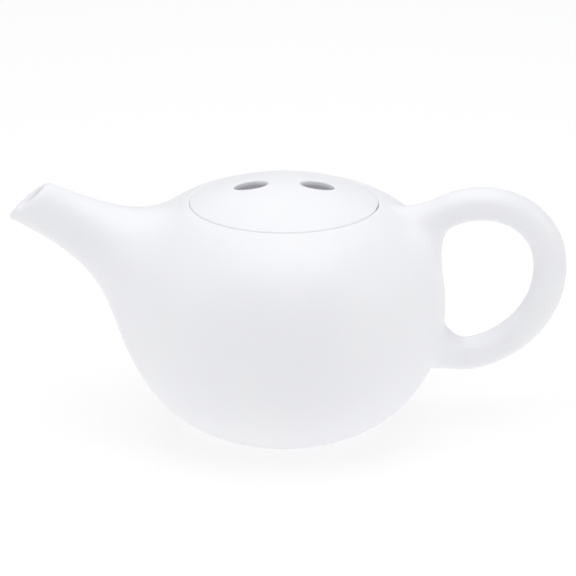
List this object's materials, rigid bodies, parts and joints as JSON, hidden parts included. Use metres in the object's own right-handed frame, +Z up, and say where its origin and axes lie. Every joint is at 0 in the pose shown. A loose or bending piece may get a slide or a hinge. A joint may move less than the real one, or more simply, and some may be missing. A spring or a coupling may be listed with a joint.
{
  "type": "teapot",
  "caption": "Round porcelain teapot with a smoothly swept spout, a loop handle and a flush domed lid lifted by two finger holes.",
  "frame": {"origin": "centre of the foot ring, on the table", "axes": "+Z up; the spout points along -X, the handle along +X, and Y runs across the pot"},
  "size_m": [0.2541, 0.148, 0.1185],
  "materials": {
    "glazed_pot": "satin white glaze",
    "glazed_spout": "satin white glaze",
    "glazed_handle": "satin white glaze",
    "glazed_lid": "satin white glaze"
  },
  "bodies": {
    "pot": {"pot_body": "glazed_pot", "spout": "glazed_spout", "handle": "glazed_handle"},
    "lid": {"lid": "glazed_lid"}
  },
  "joints": [
    {"name": "lid_lift", "type": "slide", "parent": "pot", "child": "lid", "axis": [0, 0, 1], "range_m": [0, 0.06]}
  ]
}
